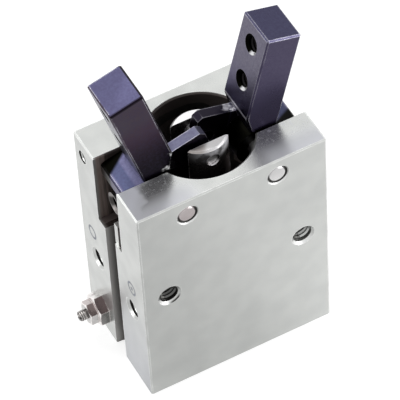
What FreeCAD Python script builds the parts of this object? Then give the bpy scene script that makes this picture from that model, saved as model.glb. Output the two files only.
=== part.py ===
# Two finger pneumatic gripper with pivoting fingers, modelled in millimetres.
# The base stands on z = 0, x runs from finger to finger and y from front to back.
# The fingers are drawn fully open, with the piston at the top of its stroke.
import FreeCAD, Part
import math
import os
import re
import Sketcher
from FreeCAD import Placement, Rotation, Vector

doc = FreeCAD.newDocument("gripper")
sheet = doc.addObject("Spreadsheet::Sheet", "Sizes")

sizes = {
    # body block
    "bodyWidth": 42.8,
    "bodyDepth": 27.6,
    "bodyHeight": 57.0,
    "edgeBevel": 0.3,
    "slotWidth": 10.2,
    "slotFloor": 38.3,
    "boreDiameter": 20.0,
    "headDiameter": 22.4,
    "headFloor": 31.0,
    "mouthBevel": 0.4,
    "baseBoreDiameter": 21.0,
    "baseBoreDepth": 1.5,
    # threaded holes, drawn at the drill that goes before the tap
    "tapDrill": 4.2,
    "tapMouth": 5.3,
    "faceTapWall": 2.2,
    "faceTapHeight": 30.1,
    "baseTapSpacing": 29.0,
    "baseTapDepth": 10.0,
    # air ports on the left side and the drillings behind them
    "portSpacing": 15.3,
    "portHeight": 22.7,
    "portDepth": 9.0,
    "bleedDiameter": 1.6,
    "bleedRise": 0.8,
    "channelInset": 6.5,
    "channelDiameter": 2.0,
    "plugHeight": 1.3,
    # grooves for position switches, and the stop above the left one
    "switchGrooveWidth": 4.4,
    "switchGrooveDepth": 3.2,
    "stopOffset": 1.9,
    "stopThickness": 1.4,
    "stopReach": 1.2,
    "stopHeight": 5.9,
    # pivot pins and the screws that lock them
    "pivotSpacing": 20.4,
    "pivotDrop": 4.5,
    "pivotDiameter": 4.0,
    "pivotRecess": 0.25,
    "pivotMouth": 5.0,
    "lockScrewOffset": 10.2,
    "lockScrewDiameter": 3.0,
    "lockScrewLength": 4.0,
    "lockScrewSocket": 1.5,
    "lockScrewSocketDepth": 1.6,
    # fingers, measured from the pivot with the finger upright
    "openAngle": 15.0,
    "fingerWidth": 9.7,
    "fingerInner": 4.05,
    "fingerOuter": 3.75,
    "fingerReach": 28.8,
    "fingerFoot": 7.9,
    "fingerNeck": 4.0,
    "fingerUndercut": 1.9,
    "fingerBevel": 0.35,
    "fingerTapDrill": 3.3,
    "fingerTapMouth": 4.4,
    "fingerTapTop": 4.7,
    "fingerTapSpacing": 9.4,
    "hubDiameter": 9.0,
    "heelTop": 4.8,
    "heelReach": 8.7,
    "heelLip": 2.5,
    "heelInset": 2.4,
    "heelSole": 5.5,
    "heelBossDiameter": 5.1,
    "heelTapDrop": 2.3,
    "heelTapDepth": 5.0,
    "armReach": 11.8,
    "armHeight": 9.0,
    "armRise": 1.3,
    "armWidth": 2.4,
    "armGap": 0.5,
    "armBevel": 1.0,
    # drive pin and the forked rod that carries it
    "driveDiameter": 3.0,
    "driveLength": 10.8,
    "driveClear": 0.1,
    "forkDiameter": 11.8,
    "forkRise": 3.2,
    "forkLength": 12.4,
    "forkSlotWidth": 7.4,
    "forkSlotDepth": 10.0,
    "forkBevel": 0.4,
    "rodDiameter": 10.0,
    "spigotDiameter": 6.0,
    # piston, measured from its top face
    "pistonTop": 22.4,
    "pistonLength": 12.0,
    "pistonClear": 0.1,
    "sealStart": 2.0,
    "sealWidth": 2.4,
    "sealDepth": 2.0,
    "sealLip": 0.7,
    "magnetStart": 6.4,
    "magnetWidth": 3.0,
    "magnetDepth": 1.5,
    "nutFlats": 8.0,
    "nutHeight": 3.0,
    "nutWellDiameter": 10.4,
    "nutWellDepth": 4.0,
    "bumperInner": 11.4,
    "bumperOuter": 16.4,
    "lowerBumperHeight": 1.0,
    "upperBumperHeight": 1.9,
    # rod cover with its seals and ring
    "coverBottom": 24.6,
    "coverFlange": 2.5,
    "coverClear": 0.05,
    "coverRingStart": 2.4,
    "coverRingSection": 1.1,
    "rodSealStart": 5.0,
    "rodSealWidth": 2.2,
    "rodSealDepth": 2.1,
    # end cap with its seal and ring
    "capRingHeight": 2.1,
    "capThickness": 2.4,
    "capRingStart": 0.6,
    "capRingSection": 1.0,
    "capDish": 0.6,
    "capDishDiameter": 12.0,
    # snap rings
    "snapThickness": 1.0,
    "snapGrooveWidth": 1.1,
    "snapGrooveDepth": 0.7,
    "snapWidth": 2.0,
    "snapClear": 0.1,
    "snapGap": 6.0,
    "snapEar": 3.0,
    "snapEarHole": 1.3,
    # speed needle on the left side
    "needleHeight": 6.5,
    "guideThread": 5.0,
    "guideThreadLength": 4.6,
    "guideFlats": 6.4,
    "guideHead": 2.2,
    "lockNutFlats": 4.8,
    "lockNutHeight": 1.8,
    "needleDiameter": 2.2,
    "needleProud": 1.8,
    "needleChamber": 3.4,
    "needleChamberDepth": 9.6,
    "needleTip": 1.0,
    "needleTipLength": 1.6,
    "needleLift": 0.3,
    "needleSlot": 0.6,
    "needleSlotDepth": 0.6,
    "seatDiameter": 1.3,
    "needleRingSection": 0.8,
    # clearances that several fits share
    "runningClear": 0.03,
    "pressClear": 0.01,
}

for row, (alias, value) in enumerate(sizes.items(), start=1):
    sheet.set(f"A{row}", alias)
    sheet.set(f"B{row}", str(value))
    sheet.setAlias(f"B{row}", alias)
doc.recompute()


def formula(text):
    # a formula in plain size names, with each name pointed at its cell
    return re.sub(r"[A-Za-z]\w*", lambda m: f"Sizes.{m[0]}" if m[0] in sizes else m[0], text)


# Sketch helpers

def sketch_on(body, name, role, offset="0"):
    sketch = body.newObject("Sketcher::SketchObject", name)
    plane = next(feature for feature in body.Origin.OriginFeatures if feature.Role == role)
    sketch.AttachmentSupport = [(plane, "")]
    sketch.MapMode = "FlatFace"
    sketch.setExpression("AttachmentOffset.Base.z", formula(offset))
    return sketch


def pin_point(sketch, geometry, position, across, upward):
    for kind, text in (("DistanceX", across), ("DistanceY", upward)):
        index = sketch.addConstraint(Sketcher.Constraint(kind, -1, 1, geometry, position, 1.0))
        sketch.setExpression(f"Constraints[{index}]", formula(text))


def polygon(sketch, points):
    # the corners start on a unit circle, and the constraints pull each one to its place
    first = sketch.GeometryCount
    count = len(points)
    turns = [2 * math.pi * corner / count for corner in range(count + 1)]
    ring = [Vector(math.cos(turn), math.sin(turn), 0) for turn in turns]
    for corner in range(count):
        sketch.addGeometry(Part.LineSegment(ring[corner], ring[corner + 1]), False)
    for corner, (across, upward) in enumerate(points):
        following = first + (corner + 1) % count
        sketch.addConstraint(Sketcher.Constraint("Coincident", first + corner, 2, following, 1))
        pin_point(sketch, first + corner, 1, across, upward)


def circle(sketch, across, upward, diameter):
    index = sketch.addGeometry(Part.Circle(Vector(1, 1, 0), Vector(0, 0, 1), 1), False)
    pin_point(sketch, index, 3, across, upward)
    size = sketch.addConstraint(Sketcher.Constraint("Diameter", index, 1.0))
    sketch.setExpression(f"Constraints[{size}]", formula(diameter))


def hexagon(sketch, across, upward, flats):
    # two flats stand parallel to the sketch's second axis
    corners = []
    for corner in range(6):
        turn = 30 + 60 * corner
        side = f"({flats}) / sqrt(3)"
        corners.append((f"{across} + {side} * cos({turn})", f"{upward} + {side} * sin({turn})"))
    polygon(sketch, corners)


# Feature helpers

def new_body(name):
    body = doc.addObject("PartDesign::Body", name)
    body.Label = name
    return body


def pad(body, sketch, length, symmetric=False, backward=False):
    feature = body.newObject("PartDesign::Pad", sketch.Name + "Pad")
    feature.Profile = sketch
    feature.SideType = "Symmetric" if symmetric else "One side"
    feature.Reversed = backward
    feature.setExpression("Length", formula(length))
    return feature


def pocket(body, sketch, length, symmetric=False, upward=False):
    # cuts against the sketch's normal, or along it when upward is set
    feature = body.newObject("PartDesign::Pocket", sketch.Name + "Pocket")
    feature.Profile = sketch
    feature.SideType = "Symmetric" if symmetric else "One side"
    feature.Reversed = upward
    feature.setExpression("Length", formula(length))
    return feature


def revolve(body, sketch, kind="PartDesign::Revolution"):
    feature = body.newObject(kind, sketch.Name + "Turn")
    feature.Profile = sketch
    feature.ReferenceAxis = (sketch, ["V_Axis"])
    feature.Angle = 360
    return feature


def bevel_all(body, base, size):
    feature = body.newObject("PartDesign::Chamfer", base.Name + "Bevel")
    feature.Base = (base, ["Edge1"])
    feature.UseAllEdges = True
    feature.setExpression("Size", formula(size))
    return feature


def drill(body, sketch, diameter, depth, mouth, along_normal=False):
    # a drilled hole with a pointed end and a countersunk mouth, ready for a tap
    doc.recompute()
    feature = body.newObject("PartDesign::Hole", sketch.Name + "Drill")
    feature.Profile = sketch
    feature.Threaded = False
    feature.DepthType = "Dimension"
    feature.DrillPoint = "Angled"
    feature.HoleCutType = "Countersink"
    feature.Reversed = along_normal
    doc.recompute()
    feature.setExpression("Diameter", formula(diameter))
    feature.setExpression("Depth", formula(depth))
    feature.setExpression("HoleCutDiameter", formula(mouth))
    feature.HoleCutCountersinkAngle = 90
    return feature


def crown(body, name, flats, top):
    # the 30 degree bevel at the corners of a hexagon's outer end
    sketch = sketch_on(body, name, "XZ_Plane")
    wide = f"0.7 * ({flats})"
    polygon(sketch, [(f"({flats}) / 2", top), (wide, top), (wide, f"{top} - 0.2 * ({flats}) * tan(30)")])
    return revolve(body, sketch, "PartDesign::Groove")


def turned(name, points):
    # a turned piece from its half section, given as radius and height
    body = new_body(name)
    section = sketch_on(body, name + "Section", "XZ_Plane")
    polygon(section, points)
    revolve(body, section)
    return body


def seal_ring(name, middle, section):
    # a round section ring about its own axis, with its middle at height zero
    body = new_body(name)
    profile = sketch_on(body, name + "Section", "XZ_Plane")
    circle(profile, middle, "0", section)
    revolve(body, profile)
    return body


def place(body, across="0", along="0", upward="0", rotation=Rotation()):
    body.Placement = Placement(Vector(), rotation)
    for axis, text in (("x", across), ("y", along), ("z", upward)):
        body.setExpression(f"Placement.Base.{axis}", formula(text))


pivotHeight = "(bodyHeight - pivotDrop)"
driveHeight = f"({pivotHeight} + pivotSpacing / 2 * tan(openAngle))"
boreRadius = "boreDiameter / 2"
headRadius = "headDiameter / 2"
faceTapAcross = "(headDiameter / 2 + faceTapWall + tapDrill / 2)"
leftFace = "-bodyWidth / 2"
outOfLeft = Rotation(Vector(0, 1, 0), -90)
cornerUp = outOfLeft.multiply(Rotation(Vector(0, 0, 1), 30))


# Body: a block with a finger slot, a stepped bore, ports and mounting holes

def make_body():
    body = new_body("body")
    block = sketch_on(body, "block", "XY_Plane")
    polygon(block, [("-bodyWidth / 2", "-bodyDepth / 2"), ("bodyWidth / 2", "-bodyDepth / 2"),
                    ("bodyWidth / 2", "bodyDepth / 2"), ("-bodyWidth / 2", "bodyDepth / 2")])
    bevel_all(body, pad(body, block, "bodyHeight"), "edgeBevel")

    # the slot flares by one bevel at the top
    slot = sketch_on(body, "fingerSlot", "YZ_Plane")
    flare = "slotWidth / 2 + 2 * edgeBevel"
    polygon(slot, [("-slotWidth / 2", "slotFloor"), ("slotWidth / 2", "slotFloor"),
                   ("slotWidth / 2", "bodyHeight - edgeBevel"), (flare, "bodyHeight + edgeBevel"),
                   (f"-({flare})", "bodyHeight + edgeBevel"), ("-slotWidth / 2", "bodyHeight - edgeBevel")])
    pocket(body, slot, "2 * bodyWidth", symmetric=True)

    bore = sketch_on(body, "bore", "XZ_Plane")
    capRingTop = "capRingHeight + snapGrooveWidth"
    headRing = "headFloor + coverFlange"
    headRingTop = "headFloor + coverFlange + snapGrooveWidth"
    below = "-baseBoreDepth"
    above = "bodyHeight + mouthBevel"
    polygon(bore, [("0", below), ("baseBoreDiameter / 2", below), ("baseBoreDiameter / 2", "baseBoreDepth"),
                   (boreRadius, "baseBoreDepth"), (boreRadius, "capRingHeight"),
                   (f"{boreRadius} + snapGrooveDepth", "capRingHeight"),
                   (f"{boreRadius} + snapGrooveDepth", capRingTop), (boreRadius, capRingTop),
                   (boreRadius, "headFloor"), (headRadius, "headFloor"), (headRadius, headRing),
                   (f"{headRadius} + snapGrooveDepth", headRing),
                   (f"{headRadius} + snapGrooveDepth", headRingTop), (headRadius, headRingTop),
                   (headRadius, "bodyHeight - mouthBevel"), (f"{headRadius} + 2 * mouthBevel", above),
                   ("0", above)])
    revolve(body, bore, "PartDesign::Groove")

    pivots = sketch_on(body, "pivotHoles", "XZ_Plane")
    for side in ("-", ""):
        circle(pivots, f"{side}pivotSpacing / 2", pivotHeight, "pivotDiameter + 2 * pressClear")
    pocket(body, pivots, "2 * bodyDepth", symmetric=True)

    # the face holes go right through and are tapped from both ends
    face_holes = sketch_on(body, "faceHoles", "XZ_Plane")
    for side in ("-", ""):
        circle(face_holes, f"{side}{faceTapAcross}", "faceTapHeight", "tapDrill")
    pocket(body, face_holes, "2 * bodyDepth", symmetric=True)

    for name, offset, inward in (("front", "bodyDepth / 2", False), ("rear", "-bodyDepth / 2", True)):
        mouths = sketch_on(body, name + "PivotMouths", "XZ_Plane", offset)
        taps = sketch_on(body, name + "Taps", "XZ_Plane", offset)
        for side in ("-", ""):
            circle(mouths, f"{side}pivotSpacing / 2", pivotHeight, "pivotMouth")
            circle(taps, f"{side}{faceTapAcross}", "faceTapHeight", "tapDrill")
        drill(body, mouths, "pivotDiameter + 2 * pressClear", "pivotMouth", "pivotMouth", along_normal=inward)
        drill(body, taps, "tapDrill", "tapMouth", "tapMouth", along_normal=inward)

    base_taps = sketch_on(body, "baseTaps", "XY_Plane")
    for side in ("-", ""):
        circle(base_taps, f"{side}baseTapSpacing / 2", "0", "tapDrill")
    drill(body, base_taps, "tapDrill", "baseTapDepth", "tapMouth", along_normal=True)

    # the rear port feeds the lower chamber through the needle, the front one the upper chamber
    ports = sketch_on(body, "ports", "YZ_Plane", leftFace)
    for side in ("-", ""):
        circle(ports, f"{side}portSpacing / 2", "portHeight", "tapDrill")
    drill(body, ports, "tapDrill", "portDepth", "tapMouth", along_normal=True)
    bleed = sketch_on(body, "upperBleed", "YZ_Plane", leftFace)
    circle(bleed, "-portSpacing / 2", "portHeight + bleedRise", "bleedDiameter")
    pocket(body, bleed, "bodyWidth / 2 - boreDiameter / 4", upward=True)
    channel = sketch_on(body, "channel", "XY_Plane")
    circle(channel, f"{leftFace} + channelInset", "portSpacing / 2", "channelDiameter")
    pocket(body, channel, "portHeight", upward=True)
    for name, diameter, depth in (("guideHole", "guideThread + 2 * pressClear", "guideThreadLength"),
                                  ("needleChamber", "needleChamber", "needleChamberDepth"),
                                  ("needleSeat", "seatDiameter", "bodyWidth / 2 - boreDiameter / 4")):
        step = sketch_on(body, name, "YZ_Plane", leftFace)
        circle(step, "portSpacing / 2", "needleHeight", diameter)
        pocket(body, step, depth, upward=True)

    for name, offset, inward in (("left", leftFace, True), ("right", "bodyWidth / 2", False)):
        screw = sketch_on(body, name + "LockHole", "YZ_Plane", offset)
        circle(screw, "lockScrewOffset", pivotHeight, "lockScrewDiameter + 2 * pressClear")
        pocket(body, screw, "bodyWidth / 2 - pivotSpacing / 2", upward=inward)

    # switch grooves: a round bottom with straight walls up to the face
    middle = "(bodyWidth / 2 - switchGrooveDepth + switchGrooveWidth / 2)"
    rounds = sketch_on(body, "grooveRounds", "XY_Plane")
    walls = sketch_on(body, "grooveWalls", "XY_Plane")
    for side in ("-", ""):
        circle(rounds, f"{side}{middle}", "0", "switchGrooveWidth")
        polygon(walls, [(f"{side}{middle}", "-switchGrooveWidth / 2"), (f"{side}bodyWidth", "-switchGrooveWidth / 2"),
                        (f"{side}bodyWidth", "switchGrooveWidth / 2"), (f"{side}{middle}", "switchGrooveWidth / 2")])
    pocket(body, rounds, "slotFloor", upward=True)
    pocket(body, walls, "slotFloor", upward=True)

    # a small stop stands on the slot floor beside the left groove
    stop = sketch_on(body, "switchStop", "XY_Plane", "slotFloor")
    near = f"{leftFace} + edgeBevel"
    far = f"{leftFace} + stopReach"
    polygon(stop, [(near, "-stopOffset - stopThickness"), (far, "-stopOffset - stopThickness"),
                   (far, "-stopOffset"), (near, "-stopOffset")])
    pad(body, stop, "stopHeight")
    return body


# Fingers: a bell crank each, turned half round about z from the other

def make_finger(name, side):
    body = new_body(name)

    def outline(label, points, width, middle="0"):
        # side is 1 on the right and -1 on the left; middle is the outline's place along y
        sketch = sketch_on(body, name + label, "XZ_Plane", f"{-side} * ({middle})")
        polygon(sketch, [(f"{side} * ({across})", upward) for across, upward in points])
        return pad(body, sketch, width, symmetric=True)

    neck = "-fingerInner + fingerUndercut"
    bar = outline("Bar", [("-fingerInner", "fingerFoot"), ("-fingerInner", "fingerReach"),
                          ("fingerOuter", "fingerReach"), ("fingerOuter", "0"), (neck, "0"),
                          (neck, "fingerNeck")], "fingerWidth")
    bevel_all(body, bar, "fingerBevel")

    hub = sketch_on(body, name + "Hub", "XZ_Plane")
    circle(hub, "0", "0", "hubDiameter")
    pad(body, hub, "fingerWidth", symmetric=True)

    # the heel is a lip with an inset toe under it; their outer faces stand upright when the finger is open
    def heel_face(height):
        return f"heelReach + (heelTop - ({height})) * tan(openAngle)"

    def toe_face(height):
        return f"{heel_face(height)} - heelInset"

    under = "heelTop - heelLip"
    worn = "heelTop - fingerBevel"
    outline("Lip", [("0", under), ("0", "heelTop"), ("heelReach - fingerBevel", "heelTop"), (heel_face(worn), worn),
                    (heel_face(under), under)], "fingerWidth")
    outline("Toe", [("0", under), (toe_face(under), under), (toe_face("-heelSole"), "-heelSole"),
                    ("0", "-hubDiameter / 2")], "fingerWidth")

    def heel_sketch(label, diameter):
        # a circle on the plane of the heel's outer face
        sketch = sketch_on(body, name + label, "YZ_Plane", f"{side} * ({heel_face('-heelTapDrop')})")
        sketch.AttachmentOffset = Placement(Vector(), Rotation(Vector(1, 0, 0), 1))
        sketch.setExpression("AttachmentOffset.Base.y", formula("-heelTapDrop"))
        sketch.setExpression("AttachmentOffset.Rotation.Angle", formula(f"{-side} * openAngle * 1deg"))
        circle(sketch, "0", "0", diameter)
        return sketch

    pad(body, heel_sketch("Boss", "heelBossDiameter"), "2 * heelInset", backward=side > 0)

    arm_middle = "armGap + armWidth / 2"
    end = "-armReach"
    near = "-armReach + armBevel"
    upper = "armHeight / 2 + armRise"
    lower = "-armHeight / 2"
    outline("Arm", [("0", upper), (near, upper), (end, f"{upper} - armBevel"), (end, f"{lower} + armBevel"),
                    (near, lower), ("0", lower)], "armWidth", arm_middle)

    # the open slot that straddles the drive pin, with a round inner end
    groove = "driveDiameter / 2 + driveClear"
    inner = f"{side} * (driveDiameter / 2 - pivotSpacing / 2)"
    jaw = sketch_on(body, name + "Jaw", "XZ_Plane", f"{-side} * ({arm_middle})")
    polygon(jaw, [(inner, f"-({groove})"), (f"{side} * 2 * {end}", f"-({groove})"),
                  (f"{side} * 2 * {end}", groove), (inner, groove)])
    pocket(body, jaw, "armWidth + armGap", symmetric=True)
    round_end = sketch_on(body, name + "JawEnd", "XZ_Plane", f"{-side} * ({arm_middle})")
    circle(round_end, inner, "0", f"2 * ({groove})")
    pocket(body, round_end, "armWidth + armGap", symmetric=True)

    pivot = sketch_on(body, name + "Pivot", "XZ_Plane")
    circle(pivot, "0", "0", "pivotDiameter + 2 * runningClear")
    pocket(body, pivot, "2 * fingerWidth", symmetric=True)

    # threaded holes: two for a jaw plate run through the bar, and a blind one enters the boss on the heel
    inner_face = sketch_on(body, name + "Taps", "YZ_Plane", f"{-side} * fingerInner")
    for drop in ("fingerTapTop", "fingerTapTop + fingerTapSpacing"):
        circle(inner_face, "0", f"fingerReach - ({drop})", "fingerTapDrill")
    drill(body, inner_face, "fingerTapDrill", "2 * (fingerInner + fingerOuter)", "fingerTapMouth",
          along_normal=side > 0)
    drill(body, heel_sketch("HeelTap", "fingerTapDrill"), "fingerTapDrill", "heelTapDepth", "fingerTapMouth",
          along_normal=side < 0)

    place(body, f"{side} * pivotSpacing / 2", "0", pivotHeight, Rotation(Vector(0, 1, 0), 1))
    body.setExpression("Placement.Rotation.Angle", formula(f"{side} * openAngle * 1deg"))
    return body


def make_pivot_pin(name, side):
    body = new_body(name)
    sketch = sketch_on(body, name + "Round", "XZ_Plane")
    circle(sketch, "0", "0", "pivotDiameter")
    bevel_all(body, pad(body, sketch, "bodyDepth - 2 * pivotRecess", symmetric=True), "edgeBevel")
    place(body, f"{side} * pivotSpacing / 2", "0", pivotHeight)
    return body


def make_lock_screws():
    # two headless socket screws, each with its point on a pivot pin
    screws = []
    for name, side in (("left", -1), ("right", 1)):
        body = new_body(name + "_lock_screw")
        shank = sketch_on(body, name + "Shank", "YZ_Plane")
        circle(shank, "0", "0", "lockScrewDiameter")
        pad(body, shank, "lockScrewLength")
        socket = sketch_on(body, name + "Socket", "YZ_Plane", "lockScrewLength")
        hexagon(socket, "0", "0", "lockScrewSocket")
        pocket(body, socket, "lockScrewSocketDepth")
        place(body, f"{side} * (pivotSpacing / 2 + pivotDiameter / 2 + pressClear)", "lockScrewOffset",
              pivotHeight, Rotation(Vector(0, 0, 1), 180 if side < 0 else 0))
        screws.append(body)
    group = doc.addObject("Part::Compound", "pin_lock_screws")
    group.Label = "pin_lock_screws"
    group.Links = screws
    return group


# Piston rod with its fork, drawn about the drive pin's axis

def make_piston_rod():
    body = new_body("piston_rod")
    section = sketch_on(body, "rodSection", "XZ_Plane")
    neck = "forkRise - forkLength"
    seat = f"pistonTop - {driveHeight}"
    tail = f"pistonTop - pistonLength - {driveHeight} + (nutWellDepth - nutHeight) / 2"
    polygon(section, [("0", "forkRise"), ("forkDiameter / 2 - forkBevel", "forkRise"),
                      ("forkDiameter / 2", "forkRise - forkBevel"), ("forkDiameter / 2", neck),
                      ("rodDiameter / 2", neck), ("rodDiameter / 2", seat), ("spigotDiameter / 2", seat),
                      ("spigotDiameter / 2", tail), ("0", tail)])
    revolve(body, section)
    slot = sketch_on(body, "forkSlot", "YZ_Plane")
    floor = "forkRise - forkSlotDepth"
    polygon(slot, [("-forkSlotWidth / 2", floor), ("forkSlotWidth / 2", floor),
                   ("forkSlotWidth / 2", "2 * forkRise"), ("-forkSlotWidth / 2", "2 * forkRise")])
    pocket(body, slot, "2 * forkDiameter", symmetric=True)
    hole = sketch_on(body, "driveHole", "XZ_Plane")
    circle(hole, "0", "0", "driveDiameter + 2 * pressClear")
    pocket(body, hole, "2 * forkDiameter", symmetric=True)
    place(body, upward=driveHeight)
    return body


def make_drive_pin():
    body = new_body("drive_pin")
    sketch = sketch_on(body, "driveRound", "XZ_Plane")
    circle(sketch, "0", "0", "driveDiameter")
    bevel_all(body, pad(body, sketch, "driveLength", symmetric=True), "edgeBevel")
    place(body, upward=driveHeight)
    return body


# Piston and what rides on it, drawn from its top face down

def make_piston():
    outer = "boreDiameter / 2 - pistonClear"
    well = "nutWellDiameter / 2"
    body = turned("piston", [
        ("spigotDiameter / 2 + pressClear", "0"), (outer, "0"), (outer, "-sealStart"),
        (f"{outer} - sealDepth", "-sealStart"), (f"{outer} - sealDepth", "-sealStart - sealWidth"),
        (outer, "-sealStart - sealWidth"), (outer, "-magnetStart"), (f"{outer} - magnetDepth", "-magnetStart"),
        (f"{outer} - magnetDepth", "-magnetStart - magnetWidth"), (outer, "-magnetStart - magnetWidth"),
        (outer, "-pistonLength"), (well, "-pistonLength"), (well, "-pistonLength + nutWellDepth"),
        ("spigotDiameter / 2 + pressClear", "-pistonLength + nutWellDepth")])
    place(body, upward="pistonTop")
    return body


def make_piston_seal():
    # a double lip ring: waisted on its outer face, with both lips at the bore
    inner = "boreDiameter / 2 - pistonClear - sealDepth"
    outer = "boreDiameter / 2 - pistonClear / 2"
    top = "-sealStart - pressClear"
    bottom = "-sealStart - sealWidth + pressClear"
    body = turned("piston_seal", [
        (inner, top), (f"{outer} - sealLip / 2", top), (outer, f"{top} - sealLip / 2"),
        (f"{outer} - sealLip", "-sealStart - sealWidth / 2"), (outer, f"{bottom} + sealLip / 2"),
        (f"{outer} - sealLip / 2", bottom), (inner, bottom)])
    place(body, upward="pistonTop")
    return body


def make_magnet_ring():
    inner = "boreDiameter / 2 - pistonClear - magnetDepth"
    outer = "boreDiameter / 2 - 2 * pistonClear"
    body = turned("magnet_ring", [
        (inner, "-magnetStart"), (outer, "-magnetStart"), (outer, "-magnetStart - magnetWidth"),
        (inner, "-magnetStart - magnetWidth")])
    place(body, upward="pistonTop")
    return body


def make_piston_nut():
    body = new_body("piston_nut")
    sketch = sketch_on(body, "pistonNutHex", "XY_Plane")
    hexagon(sketch, "0", "0", "nutFlats")
    circle(sketch, "0", "0", "spigotDiameter + 2 * pressClear")
    pad(body, sketch, "nutHeight")
    place(body, upward="pistonTop - pistonLength + nutWellDepth - nutHeight")
    return body


def make_bumper(name, height, upward):
    body = turned(name, [("bumperInner / 2", "0"), ("bumperOuter / 2", "0"), ("bumperOuter / 2", height),
                         ("bumperInner / 2", height)])
    place(body, upward=upward)
    return body


# Rod cover: guides the rod and closes the upper chamber

def make_rod_cover():
    rod = "rodDiameter / 2 + coverClear"
    barrel = "boreDiameter / 2 - coverClear"
    flange = "headDiameter / 2 - coverClear"
    step = "headFloor - coverBottom"
    top = f"{step} + coverFlange"
    land = "coverRingStart + coverRingSection"
    gland = "rodSealStart + rodSealWidth"
    body = turned("rod_cover", [
        (rod, "0"), (barrel, "0"), (barrel, "coverRingStart"), (f"{barrel} - coverRingSection", "coverRingStart"),
        (f"{barrel} - coverRingSection", land), (barrel, land), (barrel, step), (flange, step), (flange, top),
        (rod, top), (rod, gland), (f"{rod} + rodSealDepth", gland), (f"{rod} + rodSealDepth", "rodSealStart"),
        (rod, "rodSealStart")])
    place(body, upward="coverBottom")
    return body


def make_rod_seal():
    # a cup with its open side towards the pressure below
    inner = "rodDiameter / 2 + coverClear / 2"
    outer = "rodDiameter / 2 + coverClear + rodSealDepth"
    middle = "rodDiameter / 2 + coverClear + rodSealDepth / 2"
    top = "rodSealWidth - pressClear"
    body = turned("rod_seal", [(inner, "pressClear"), (middle, "rodSealWidth / 2"), (outer, "pressClear"),
                               (outer, top), (inner, top)])
    place(body, upward="coverBottom + rodSealStart")
    return body


def make_cover_ring():
    body = seal_ring("rod_cover_o_ring", "boreDiameter / 2 - coverClear - coverRingSection / 2",
                     "coverRingSection")
    place(body, upward="coverBottom + coverRingStart + coverRingSection / 2")
    return body


# End cap: closes the lower chamber

def make_end_cap():
    barrel = "boreDiameter / 2 - coverClear"
    land = "capRingStart + capRingSection"
    body = turned("end_cap", [
        ("0", "capDish"), ("capDishDiameter / 2", "capDish"), ("capDishDiameter / 2", "0"), (barrel, "0"),
        (barrel, "capRingStart"), (f"{barrel} - capRingSection", "capRingStart"),
        (f"{barrel} - capRingSection", land), (barrel, land), (barrel, "capThickness"), ("0", "capThickness")])
    place(body, upward="capRingHeight + snapGrooveWidth")
    return body


def make_cap_ring():
    body = seal_ring("end_cap_o_ring", "boreDiameter / 2 - coverClear - capRingSection / 2", "capRingSection")
    place(body, upward="capRingHeight + snapGrooveWidth + capRingStart + capRingSection / 2")
    return body


# Snap rings: an open ring with two eared ends for the pliers

def make_snap_ring(name, bore, upward):
    body = new_body(name)
    outer = f"{bore} + 2 * snapGrooveDepth - 2 * snapClear"
    ring = sketch_on(body, name + "Ring", "XY_Plane")
    circle(ring, "0", "0", outer)
    circle(ring, "0", "0", f"{outer} - 2 * snapWidth")
    pad(body, ring, "snapThickness")
    ear_line = f"-({bore}) / 2 + snapWidth"
    ears = sketch_on(body, name + "Ears", "XY_Plane")
    holes = sketch_on(body, name + "EarHoles", "XY_Plane")
    for side in ("-", ""):
        across = f"{side}(snapGap / 2 + snapEar / 2)"
        circle(ears, across, ear_line, "snapEar")
        circle(holes, across, ear_line, "snapEarHole")
    pad(body, ears, "snapThickness")
    pocket(body, holes, "snapThickness", upward=True)
    gap = sketch_on(body, name + "Gap", "XY_Plane")
    polygon(gap, [("-snapGap / 2", f"-({bore})"), ("snapGap / 2", f"-({bore})"),
                  ("snapGap / 2", "-snapGap / 2"), ("-snapGap / 2", "-snapGap / 2")])
    pocket(body, gap, "snapThickness", upward=True)
    place(body, upward=upward)
    return body


# Speed needle: a guide in the body, a lock nut and the needle, drawn outwards along z

def make_needle_guide():
    body = new_body("needle_guide")
    head = sketch_on(body, "guideHex", "XY_Plane")
    hexagon(head, "0", "0", "guideFlats")
    pad(body, head, "guideHead")
    crown(body, "guideCrown", "guideFlats", "guideHead")
    shank = sketch_on(body, "guideShank", "XY_Plane", "-guideThreadLength")
    circle(shank, "0", "0", "guideThread")
    pad(body, shank, "guideThreadLength")
    hole = sketch_on(body, "guideBore", "XY_Plane")
    circle(hole, "0", "0", "needleDiameter + 2 * runningClear")
    pocket(body, hole, "4 * guideThreadLength", symmetric=True)
    gland = sketch_on(body, "guideGland", "XY_Plane", "-guideThreadLength")
    circle(gland, "0", "0", "needleDiameter + 2 * runningClear + 2 * needleRingSection")
    pocket(body, gland, "needleRingSection", upward=True)
    place(body, leftFace, "portSpacing / 2", "needleHeight", cornerUp)
    return body


def make_needle_ring():
    body = seal_ring("needle_o_ring", "needleDiameter / 2 + runningClear + needleRingSection / 2",
                     "needleRingSection")
    place(body, f"{leftFace} + guideThreadLength - needleRingSection / 2", "portSpacing / 2", "needleHeight",
          outOfLeft)
    return body


def make_lock_nut():
    body = new_body("needle_lock_nut")
    sketch = sketch_on(body, "lockNutHex", "XY_Plane")
    hexagon(sketch, "0", "0", "lockNutFlats")
    circle(sketch, "0", "0", "needleDiameter + 2 * runningClear")
    pad(body, sketch, "lockNutHeight")
    crown(body, "lockNutCrown", "lockNutFlats", "lockNutHeight")
    place(body, f"{leftFace} - guideHead", "portSpacing / 2", "needleHeight", cornerUp)
    return body


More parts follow.
